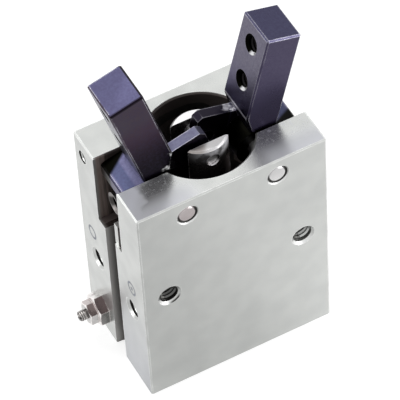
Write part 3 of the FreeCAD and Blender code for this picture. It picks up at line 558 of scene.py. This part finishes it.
# Fork of the piston rod: milled bright on top and darker at the top's left, dark below from a greasy tint
# and painted shade, with a painted highlight at the upper right of its front and on its edges
oilyLitFork = {
    "metallic": 1.0, "gloss": 0.22, "dull": 0.36, "relief": 0.00001, "bump": 0.4,
    "driftScale": 420.0, "grainScale": 3500.0, "grainStretch": (1.0, 1.0, 0.2),
    "edgeRadius": 0.0002, "edgePatches": 700.0, "edgeStrength": 0.8,
    "bright": (0.70, 0.69, 0.695), "topTurn": (0.4, 0.8),
    "darkerLeft": (0.42, 0.385, 0.365), "darkerLeftX": (-0.001, -0.004), "darkerLeftDrift": 0.002,
    "oilAndShade": (0.045, 0.041, 0.040), "oilMetallic": 0.6, "smeared": 0.45,
    "forkHighlight": (0.80, 0.80, 0.84), "forkHighlightMetallic": 0.1, "forkHighlightDrift": (-0.3, 0.7),
    "forkHighlightX": (-0.0065, 0.0025), "forkHighlightY": -0.0037, "forkHighlightZ": (-0.0038, -0.0012),
}


def makeWipedFork():
    look = oilyLitFork
    material, shader, place = startMaterial("oilyLitFork", look["metallic"])
    drift = effect("toneDrift", Place=place, Scale=look["driftScale"])
    grain, edge = grainAndEdge(place, look)
    x, y, z = axesOf(place)
    underTop = calc("SUBTRACT", z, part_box("piston_rod")[1].z)
    onTop = ramp(facingOf(place)[2], *look["topTurn"])
    # painted highlight at the upper right of the front, little metallic so that it takes light from above
    forkHighlight = allOf(ramp(x, *look["forkHighlightX"]), ramp(underTop, *look["forkHighlightZ"]),
                  within(y, look["forkHighlightY"]), ramp(drift, *look["forkHighlightDrift"]))
    # the left of the top is darker
    darkerLeftX = calc("SUBTRACT", x, calc("MULTIPLY", drift, look["darkerLeftDrift"]))
    darkerLeft = allOf(ramp(darkerLeftX, *look["darkerLeftX"]), within(y, 0.0))
    bright = blendColour(darkerLeft, look["bright"], look["darkerLeft"])
    colour = blendColour(forkHighlight, look["oilAndShade"], look["forkHighlight"])
    colour = blendColour(onTop, colour, bright)
    colour = blendColour(allOf(edge, look["edgeStrength"]), colour, look["forkHighlight"])
    feed(shader.inputs["Base Color"], colour)
    smeared = ramp(forkHighlight, 0.0, look["smeared"], look["oilMetallic"], look["forkHighlightMetallic"])
    milled = ramp(forkHighlight, 0.0, 1.0, look["metallic"], look["forkHighlightMetallic"])
    feed(shader.inputs["Metallic"], blendValue(onTop, smeared, milled))
    feed(shader.inputs["Roughness"], unevenGloss(drift, grain, look))
    roughen(shader, grain, look)
    return material


# Hexagons on the needle: plated and tarnished brown, with painted light: faces turned up are painted
# greyer, faces turned to the rear, the end faces and the nut's upper faces are painted bright, so the front
# faces stay a dark brown
litTarnishedPlate = {
    "metallic": 1.0, "gloss": 0.2, "dull": 0.34, "relief": 0.000006, "bump": 0.3,
    "driftScale": 600.0, "grainScale": 5000.0, "grainStretch": (1.0, 1.0, 1.0),
    "edgeRadius": 0.0003, "edgePatches": 400.0,
    "bright": (0.78, 0.76, 0.75), "brown": (0.165, 0.125, 0.125), "grey": (0.19, 0.185, 0.18),
    "edge": (0.95, 0.88, 0.87), "litDrift": (-0.4, 0.5), "bareRing": (0.0019, 0.0023),
    "rearTurn": (0.2, 0.45), "endTurn": (-0.6, -0.85), "uprightTurn": (0.5, 0.15),
    "nutFrom": -0.0236, "nutBrown": (0.31, 0.245, 0.24), "nutSide": 0.5, "nutRear": 0.4,
}


def makeTarnishedPlate():
    look = litTarnishedPlate
    material, shader, place = startMaterial("litTarnishedPlate", look["metallic"])
    drift = effect("toneDrift", Place=place, Scale=look["driftScale"])
    grain, edge = grainAndEdge(place, look)
    x, y, z = axesOf(place)
    facingSide, facingRear, facingUp = facingOf(place)
    onNut = within(x, look["nutFrom"])
    upright = ramp(facingUp, *look["uprightTurn"])
    bareRing = ramp(fromAxis(y, z, (needleCentre.y, needleCentre.z)), *look["bareRing"])
    end = allOf(ramp(facingSide, *look["endTurn"]), bareRing)
    rear = allOf(ramp(facingRear, *look["rearTurn"]), ramp(onNut, 0.0, 1.0, 1.0, look["nutRear"]))
    nutSide = allOf(upright, onNut, look["nutSide"])
    # painted light: these faces are painted bright by the way they face, and the edges partly as highlight,
    # partly wear
    brightened = allOf(anyOf(rear, end, nutSide), ramp(drift, *look["litDrift"]))
    brown = blendColour(onNut, look["brown"], look["nutBrown"])
    colour = blendColour(upright, brown, look["grey"])
    colour = paintLayers(colour, look, ((brightened, "bright"), (edge, "edge")))
    feed(shader.inputs["Base Color"], colour)
    feed(shader.inputs["Roughness"], unevenGloss(drift, grain, look))
    roughen(shader, grain, look)
    return material


# Turned and ground metals: a common stock, and what each has of its own. turn is the rotation that brings
# the lathe's axis to Z, and centre is where that axis then stands
turnedStock = {
    "metallic": 1.0, "gloss": 0.25, "dull": 0.36, "relief": 0.000004, "bump": 0.3,
    "driftScale": 200.0, "grainScale": 6000.0, "grainStretch": (1.0, 1.0, 1.0),
    "edgeRadius": 0.00015, "edgePatches": 600.0,
    "pitch": 0.00025, "turn": (90.0, 0.0, 0.0), "centre": (0.0, 0.0),
}
turnedMetals = {
    "brightPin": {"tone": (0.95, 0.94, 0.95), "shade": (0.88, 0.87, 0.88), "edge": (1.0, 1.0, 1.0),
                  "gloss": 0.35, "dull": 0.5},
    "groundPin": {"tone": (0.58, 0.575, 0.575), "shade": (0.50, 0.495, 0.495), "edge": (0.8, 0.8, 0.8)},
    "rosyPin": {"tone": (0.44, 0.40, 0.40), "shade": (0.38, 0.34, 0.34), "edge": (0.7, 0.68, 0.68)},
    "turnedAluminium": {"tone": (0.72, 0.72, 0.73), "shade": (0.62, 0.62, 0.63), "edge": (0.85, 0.85, 0.85),
                        "pitch": 0.0002, "turn": (0.0, 0.0, 0.0)},
    "platedSteel": {"tone": (0.16, 0.15, 0.145), "shade": (0.085, 0.078, 0.074), "edge": (0.6, 0.58, 0.56),
                    "gloss": 0.18, "dull": 0.32, "pitch": 0.00015, "turn": (0.0, 90.0, 0.0),
                    "centre": (needleCentre.z, needleCentre.y)},
    "phosphatedSteel": {"tone": (0.10, 0.10, 0.11), "shade": (0.06, 0.06, 0.065), "edge": (0.4, 0.4, 0.4),
                        "metallic": 0.7, "gloss": 0.4, "dull": 0.55, "pitch": 0.0003,
                        "turn": (0.0, 0.0, 0.0)},
}


def makeTurnedMetal(name):
    look = {**turnedStock, **turnedMetals[name]}
    material, shader, place = startMaterial(name, look["metallic"])
    drift = effect("toneDrift", Place=place, Scale=look["driftScale"])
    grain, edge = grainAndEdge(place, look)
    turn = [math.radians(angle) for angle in look["turn"]]
    shift = (-look["centre"][0], -look["centre"][1], 0.0)
    turned = addNode(treeOf(place), "Mapping", Vector=place, Rotation=turn, Location=shift)
    rings = effect("turningMarks", Place=turned.outputs[0], Pitch=look["pitch"])
    colour = blendColour(drift, look["tone"], look["shade"])
    # the edges are painted bright, partly wear and partly painted highlight
    feed(shader.inputs["Base Color"], blendColour(edge, colour, look["edge"]))
    feed(shader.inputs["Roughness"], unevenGloss(drift, grain, look))
    roughen(shader, rings, look)
    return material


# Moulded and printed materials: rubber, bonded magnet, ink of the port marks
mouldedStock = {"metallic": 0.0, "driftScale": 900.0, "grainScale": 7000.0, "spread": 0.1,
                "relief": 0.00001, "bump": 0.3}
mouldedLooks = {
    "sealRubber": {"tone": (0.03, 0.03, 0.03), "shade": (0.045, 0.045, 0.045), "rough": 0.6},
    "bumperRubber": {"tone": (0.12, 0.10, 0.08), "shade": (0.09, 0.075, 0.06), "rough": 0.65},
    "bondedMagnet": {"tone": (0.08, 0.08, 0.08), "shade": (0.12, 0.12, 0.12), "rough": 0.7,
                     "grainScale": 5000.0},
    "portInk": {"tone": (0.14, 0.15, 0.18), "shade": (0.27, 0.29, 0.33), "rough": 0.5,
                "grainScale": 9000.0},
}


def makeMoulded(name):
    look = {**mouldedStock, **mouldedLooks[name]}
    material, shader, place = startMaterial(name, look["metallic"])
    drift = effect("toneDrift", Place=place, Scale=look["driftScale"])
    grain = effect("fineGrain", Place=place, Scale=look["grainScale"])
    feed(shader.inputs["Base Color"], blendColour(drift, look["tone"], look["shade"]))
    gloss, dull = look["rough"] - look["spread"], look["rough"] + look["spread"]
    feed(shader.inputs["Roughness"], ramp(grain, *grainSpan, gloss, dull))
    roughen(shader, grain, look)
    return material


# Tapped holes: bright crests at the mouth that are painted darker further in, a painted shade, by the
# mesh's own depth in millimetres
tappedStock = {"metallic": 0.95, "gloss": 0.2, "dull": 0.34, "grainScale": 8000.0, "fadeGrain": 0.4}
tappedLooks = {
    "tappedAluminium": {"mouth": (0.55, 0.56, 0.55), "deep": (0.06, 0.057, 0.052), "fade": (1.0, 4.6),
                        "oilAndShade": (0.045, 0.045, 0.043), "shadeFrom": 0.027, "shadeTo": 0.034, "leftHoleShade": 0.85,
                        "bottomUp": (0.3, 0.5), "bottomSide": (-0.15, 0.1)},
    "tappedSteel": {"mouth": (0.06, 0.057, 0.062), "deep": (0.008, 0.007, 0.008), "fade": (0.2, 1.4)},
}


def makeTapped(name):
    look = {**tappedStock, **tappedLooks[name]}
    material, shader, place = startMaterial(name, look["metallic"])
    depth = addNode(treeOf(place), "Attribute", {"attribute_name": "depth"}).outputs["Fac"]
    grain = effect("fineGrain", Place=place, Scale=look["grainScale"])
    uneven = calc("ADD", depth, calc("MULTIPLY", grain, look["fadeGrain"]))
    colour = blendColour(ramp(uneven, *look["fade"]), look["mouth"], look["deep"])
    if "oilAndShade" in look:
        # painted shade at the bottom of the face holes, and all over the left one
        x, _, z = axesOf(place)
        facingSide, _, facingUp = facingOf(place)
        faceHole = allOf(beyond(z, look["shadeFrom"]), within(z, look["shadeTo"]))
        bottom = allOf(ramp(facingUp, *look["bottomUp"]), ramp(facingSide, *look["bottomSide"]))
        left = allOf(within(x, 0.0), look["leftHoleShade"])
        colour = blendColour(allOf(faceHole, anyOf(bottom, left)), colour, look["oilAndShade"])
    feed(shader.inputs["Base Color"], colour)
    feed(shader.inputs["Roughness"], ramp(grain, *grainSpan, look["gloss"], look["dull"]))
    return material


materials = {"satinAnodised": makeSatinBlock(), "blueBlackOxide": makeOxideSteel(),
             "oilyLitFork": makeWipedFork(), "litTarnishedPlate": makeTarnishedPlate()}
for maker, looks in ((makeTapped, tappedLooks), (makeTurnedMetal, turnedMetals),
                     (makeMoulded, mouldedLooks)):
    materials.update({name: maker(name) for name in looks})
print("finishes made:", len(materials))

# Which finish each CAD piece wears
finishes = {
    "satinAnodised": ["body"],
    "blueBlackOxide": ["left_finger", "right_finger"],
    "oilyLitFork": ["piston_rod"],
    "groundPin": ["right_pivot_pin", "channel_plug"],
    "brightPin": ["drive_pin"],
    "rosyPin": ["left_pivot_pin"],
    "turnedAluminium": ["piston", "rod_cover", "end_cap"],
    "platedSteel": ["speed_needle", "piston_nut"],
    "litTarnishedPlate": ["needle_guide", "needle_lock_nut"],
    "phosphatedSteel": ["pin_lock_screws", "rod_cover_snap_ring", "end_cap_snap_ring"],
    "sealRubber": ["piston_seal", "rod_seal", "rod_cover_o_ring", "end_cap_o_ring", "needle_o_ring"],
    "bumperRubber": ["lower_bumper", "upper_bumper"],
    "bondedMagnet": ["magnet_ring"],
}
for finish, wearers in finishes.items():
    for wearer in wearers:
        slots = cadNodes[wearer].data.materials
        for index in range(len(slots)):
            slots[index] = materials[finish]
        if not slots:
            slots.append(materials[finish])
print("finishes worn by", sum(len(wearers) for wearers in finishes.values()), "CAD pieces")


# New surfaces are grids of points: rings along a path, each ring a closed profile
def gridFaces(rows, columns, closedRows):
    # four corners of every cell, with the columns closed round and the rows closed only on request
    steps = rows if closedRows else rows - 1
    row, column = np.meshgrid(np.arange(steps), np.arange(columns), indexing="ij")
    nextRow = (row + 1) % rows
    nextColumn = (column + 1) % columns
    corners = (row * columns + column, row * columns + nextColumn,
               nextRow * columns + nextColumn, nextRow * columns + column)
    return np.stack(corners, axis=-1).reshape(-1, 4)


def signedVolume(points, quads):
    # sum of the tetrahedra from the origin to each half of each cell
    a, b, c, d = (points[quads[:, k]] for k in range(4))
    return (np.einsum("ij,ij->i", a, np.cross(b, c)) + np.einsum("ij,ij->i", a, np.cross(c, d))).sum() / 6


def meshFromRings(name, coils, body, finish, closedRows=False, depths=None):
    # coils is a list of arrays (rings, points in a ring, 3), in metres, joined into one piece
    points, faces, start = [], [], 0
    for rings in coils:
        rows, columns = rings.shape[:2]
        flat = rings.reshape(-1, 3)
        quads = gridFaces(rows, columns, closedRows)
        ends = [] if closedRows else [np.arange(columns)[::-1], (rows - 1) * columns + np.arange(columns)]
        if signedVolume(flat - flat.mean(axis=0), quads) < 0:
            quads = quads[:, ::-1]
            ends = [end[::-1] for end in ends]
        points.append(flat)
        faces += (quads + start).tolist() + [(end + start).tolist() for end in ends]
        start += len(flat)
    mesh = bpy.data.meshes.new(name)
    mesh.from_pydata(np.concatenate(points).tolist(), [], faces)
    mesh.update()
    mesh.materials.append(materials[finish])
    if depths is not None:
        mesh.attributes.new("depth", "FLOAT", "POINT").data.foreach_set("value", np.concatenate(depths))
    piece = bpy.data.objects.new(name, mesh)
    bpy.context.scene.collection.objects.link(piece)
    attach(piece, body)
    print(name, "made:", len(mesh.polygons), "faces")


def acrossFrame(axis):
    # two directions square to an axis and to each other
    axis = np.array(axis, float) / np.linalg.norm(axis)
    side = np.cross(axis, (0.0, 1.0, 0.0) if abs(axis[1]) < 0.9 else (1.0, 0.0, 0.0))
    side /= np.linalg.norm(side)
    return axis, side, np.cross(axis, side)


# Section of a thread's ridge: half widths at root and crest as shares of the pitch, and its thinnest share
threadRidge = {"rootHalf": 0.46, "crestHalf": 0.08, "thinnest": 0.02, "stepsPerTurn": 36}


def threadCoil(start, axis, length, root, crest, pitch):
    # a ridge wound on a helix: at angle t it has climbed pitch * t / turn. Its section is a blunt wedge
    # from the root radius to the crest radius. Over its first and last half turn it fades to its thinnest
    ridge = threadRidge
    axis, side, other = acrossFrame(axis)
    turns = (length - pitch) / pitch
    angle = np.linspace(0.0, 2 * np.pi * turns, int(turns * ridge["stepsPerTurn"]) + 1)
    fade = np.clip(np.minimum(angle, angle[-1] - angle) / np.pi, ridge["thinnest"], 1.0)
    radius = np.array([root, crest, crest, root])
    rootHalf, crestHalf = ridge["rootHalf"], ridge["crestHalf"]
    climb = np.array([-rootHalf, -crestHalf, crestHalf, rootHalf]) * pitch
    reach = root + (radius - root) * fade[:, None]
    along = pitch / 2 + angle[:, None] * pitch / (2 * np.pi) + climb * fade[:, None]
    turning = np.cos(angle)[:, None, None] * side + np.sin(angle)[:, None, None] * other
    return np.array(start) + reach[..., None] * turning + along[..., None] * axis


# Threads that show in the tapped holes and on the needle, in millimetres
threadSizes = {
    "coarse5": {"drill": 4.2, "mouth": 5.3, "pitch": 0.8, "depth": 0.30},
    "coarse4": {"drill": 3.3, "mouth": 4.4, "pitch": 0.7, "depth": 0.26},
    "coarse3": {"drill": 3.0, "mouth": 3.0, "pitch": 0.5, "depth": 0.16},
}
needleThread = {"radius": 1.1, "rise": 0.1, "pitch": 0.45}
wallClear = 0.005


def innerThread(kind, mouthCentre, inward, depth, through=False):
    # a thread that starts under the countersink of a tapped hole, and how deep each of its points lies
    size = threadSizes[kind]
    sink = (size["mouth"] - size["drill"]) / 2
    length = depth - sink * (2 if through else 1)
    root = size["drill"] / 2 - wallClear
    begin = np.array(mouthCentre) + np.array(inward) * sink
    coil = threadCoil(begin, inward, length, root, root - size["depth"], size["pitch"])
    far = (coil - np.array(mouthCentre)) @ np.array(inward)
    nearest = np.minimum(far, depth - far) if through else far
    return coil * mm, nearest.ravel()


def threadPiece(name, threads, body, finish):
    coils, depths = zip(*threads)
    meshFromRings(name, coils, body, finish, depths=depths)


def makeBlockThreads():
    hole, sides = blockHoles, (-1, 1)
    wide, deep = hole["halfWidth"], hole["halfDepth"]
    threads = {
        "face": [innerThread("coarse5", (side * hole["faceAcross"], -deep, hole["faceHeight"]), (0, 1, 0),
                             2 * deep, True) for side in sides],
        "base": [innerThread("coarse5", (side * hole["baseAcross"], 0.0, 0.0), (0, 0, 1),
                             hole["baseDepth"]) for side in sides],
        "port": [innerThread("coarse5", (-wide, side * hole["portOffset"], hole["portHeight"]), (1, 0, 0),
                             hole["portDepth"]) for side in sides],
        "lock_screw": [innerThread("coarse3", (side * wide, hole["lockOffset"], hole["lockHeight"]),
                                   (-side, 0, 0), hole["lockDepth"]) for side in sides],
    }
    for name, coils in threads.items():
        threadPiece(name + "_threads", coils, "housing", "tappedAluminium")


def makeFingerThreads(sideName, side):
    hole = fingerHoles
    lean = math.radians(hole["lean"])
    outward = np.array((side * math.cos(lean), 0.0, -math.sin(lean)))
    upward = np.array((side * math.sin(lean), 0.0, math.cos(lean)))
    pivot = np.array((side * hole["pivotAcross"], 0.0, hole["pivotHeight"]))
    threads = [innerThread("coarse4", pivot + height * upward - hole["inner"] * outward, outward,
                           hole["inner"] + hole["outer"], True) for height in hole["heights"]]
    threads.append(innerThread("coarse4", (side * hole["heelFace"], 0.0, hole["heelHeight"]), (-side, 0, 0),
                               hole["heelDepth"]))
    threadPiece(sideName + "_finger_threads", threads, sideName + "_lever", "tappedSteel")


def makeNeedleThread():
    thread = needleThread
    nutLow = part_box("needle_lock_nut")[0]
    start = np.array((nutLow.x, needleCentre.y, needleCentre.z)) / mm
    coil = threadCoil(start, (-1, 0, 0), (nutLow.x - needleLow.x) / mm, thread["radius"] + wallClear,
                      thread["radius"] + thread["rise"], thread["pitch"])
    meshFromRings("needle_thread", [coil * mm], "needle_screw", "platedSteel")


makeBlockThreads()
makeFingerThreads("left", -1)
makeFingerThreads("right", 1)
makeNeedleThread()

# Plain printed port marks on the left side: a ring at one port, a ring with a dot at the other
portMarks = {"proud": 0.012, "clear": 0.001, "stroke": 0.5, "outer": 1.72, "dot": 0.45, "dotInner": 0.02,
             "rear": (9.1, 29.8), "front": (-8.35, 30.2), "steps": 64}


def printedBand(centre, inner, outer):
    # a flat ring of ink: its four cornered section is carried round a circle
    mark = portMarks
    angle = np.linspace(0.0, 2 * np.pi, mark["steps"], endpoint=False)
    radius = np.array([inner, outer, outer, inner])
    height = np.array([mark["clear"], mark["clear"], mark["proud"], mark["proud"]])
    across = centre[0] + np.cos(angle)[:, None] * radius
    upward = centre[1] + np.sin(angle)[:, None] * radius
    face = np.broadcast_to(-blockHoles["halfWidth"] - height, across.shape)
    return np.stack((face, across, upward), axis=-1) * mm


def makePortMark(name, *bands):
    meshFromRings(name, bands, "housing", "portInk", closedRows=True)


ring = (portMarks["outer"] - portMarks["stroke"], portMarks["outer"])
dot = (portMarks["dotInner"], portMarks["dot"])
makePortMark("rear_port_mark", printedBand(portMarks["rear"], *ring))
makePortMark("front_port_mark", *[printedBand(portMarks["front"], *band) for band in (ring, dot)])

# Pale floor: it takes the shadow, and shows as white to the camera and in the metal
floorLook = {
    "half": 1.5, "gap": 0.00002, "bounce": (0.80, 0.80, 0.80), "shown": (0.45, 0.45, 0.45),
    "glow": 0.76, "mirrored": 0.86,
    "shade": 0.34, "shadeX": (0.035, -0.02), "shadeY": (0.0, -0.02),
    "lift": 0.2, "liftX": (0.004, 0.022), "liftY": (-0.045, -0.02),
}


def seenDirectly(path):
    # 1 for rays that come from the camera, from a shiny surface or through glass
    return anyOf(path["Is Camera Ray"], path["Is Glossy Ray"], path["Is Transmission Ray"])


def makeFloorMaterial():
    look = floorLook
    material = bpy.data.materials.new("paleFloor")
    material.use_nodes = True
    tree = material.node_tree
    tree.nodes.remove(tree.nodes["Principled BSDF"])
    path = addNode(tree, "LightPath").outputs
    seen = seenDirectly(path)
    paint = addNode(tree, "BsdfDiffuse", Color=blendColour(seen, look["bounce"], look["shown"]))
    # the metal sees the floor darker at the left front and lighter on the right
    x, y, _ = axesOf(addNode(tree, "TexCoord").outputs["Object"])
    shade = allOf(ramp(x, *look["shadeX"]), ramp(y, *look["shadeY"]), look["shade"])
    lift = allOf(ramp(x, *look["liftX"]), ramp(y, *look["liftY"]), look["lift"])
    mirrored = calc("ADD", calc("SUBTRACT", look["mirrored"], shade), lift)
    shown = calc("MULTIPLY", seen, look["glow"])
    glow = addNode(tree, "Emission", Strength=blendValue(path["Is Glossy Ray"], shown, mirrored))
    both = addNode(tree, "AddShader")
    tree.links.new(paint.outputs[0], both.inputs[0])
    tree.links.new(glow.outputs[0], both.inputs[1])
    tree.links.new(both.outputs[0], tree.nodes["Material Output"].inputs["Surface"])
    return material


def makeFloor():
    half, level = floorLook["half"], -floorLook["gap"]
    mesh = bpy.data.meshes.new("floor")
    corners = [(-half, -half, level), (half, -half, level), (half, half, level), (-half, half, level)]
    mesh.from_pydata(corners, [], [(0, 1, 2, 3)])
    mesh.materials.append(makeFloorMaterial())
    floor = bpy.data.objects.new("floor", mesh)
    bpy.context.scene.collection.objects.link(floor)


makeFloor()

# Soft studio light: a white surround and a few large lamps
studio = {
    "surround": 0.4, "shown": 1.0,
    "lamps": {
        "rearLeftBox": {"place": (-0.155, 0.55, 0.86), "aim": (0.0, 0.0, 0.06), "size": 0.42, "power": 1.5},
        "rearRightBox": {"place": (0.30, 0.55, 0.80), "aim": (0.0, 0.0, 0.06), "size": 0.40, "power": 0.25},
        "leftCard": {"place": (-0.8, 0.25, 0.5), "aim": (0.0, 0.0, 0.03), "size": 0.6, "power": 3.0},
        "rightCard": {"place": (0.7, -0.5, 0.35), "aim": (0.0, 0.0, 0.03), "size": 0.5, "power": 4.0},
    },
}


def aimed(values):
    # matrix of a lamp or a camera that stands at its place and looks at its aim
    place, aim = Vector(values["place"]), Vector(values["aim"])
    return Matrix.Translation(place) @ (aim - place).to_track_quat("-Z", "Y").to_matrix().to_4x4()


def makeStudio():
    world = bpy.data.worlds.new("whiteSurround")
    bpy.context.scene.world = world
    world.use_nodes = True
    tree = world.node_tree
    background = tree.nodes["Background"].inputs
    background["Color"].default_value = (1.0, 1.0, 1.0, 1.0)
    seen = seenDirectly(addNode(tree, "LightPath").outputs)
    feed(background["Strength"], blendValue(seen, studio["surround"], studio["shown"]))
    for name, values in studio["lamps"].items():
        lamp = bpy.data.lights.new(name, "AREA")
        lamp.energy = values["power"]
        lamp.size = values["size"]
        holder = bpy.data.objects.new(name, lamp)
        holder.matrix_world = aimed(values)
        holder.visible_camera = False
        bpy.context.scene.collection.objects.link(holder)


makeStudio()
print("studio lit with", len(studio["lamps"]), "lamps")

# Camera at the photograph's angle, a long lens from the upper left front
cameraView = {"place": (-0.18894, -0.39498, 0.56518), "aim": (0.00171, 0.00527, 0.030), "roll": -3.80,
              "lens": 302.2, "sensor": 36.0, "clipStart": 0.05}


def makeCamera():
    lens = bpy.data.cameras.new("photoCamera")
    lens.lens = cameraView["lens"]
    lens.sensor_width = cameraView["sensor"]
    lens.sensor_fit = "HORIZONTAL"
    lens.clip_start = cameraView["clipStart"]
    camera = bpy.data.objects.new("photoCamera", lens)
    camera.matrix_world = aimed(cameraView) @ Matrix.Rotation(math.radians(cameraView["roll"]), 4, "Z")
    bpy.context.scene.collection.objects.link(camera)
    bpy.context.scene.camera = camera


makeCamera()
bpy.context.scene.view_settings.view_transform = "Standard"
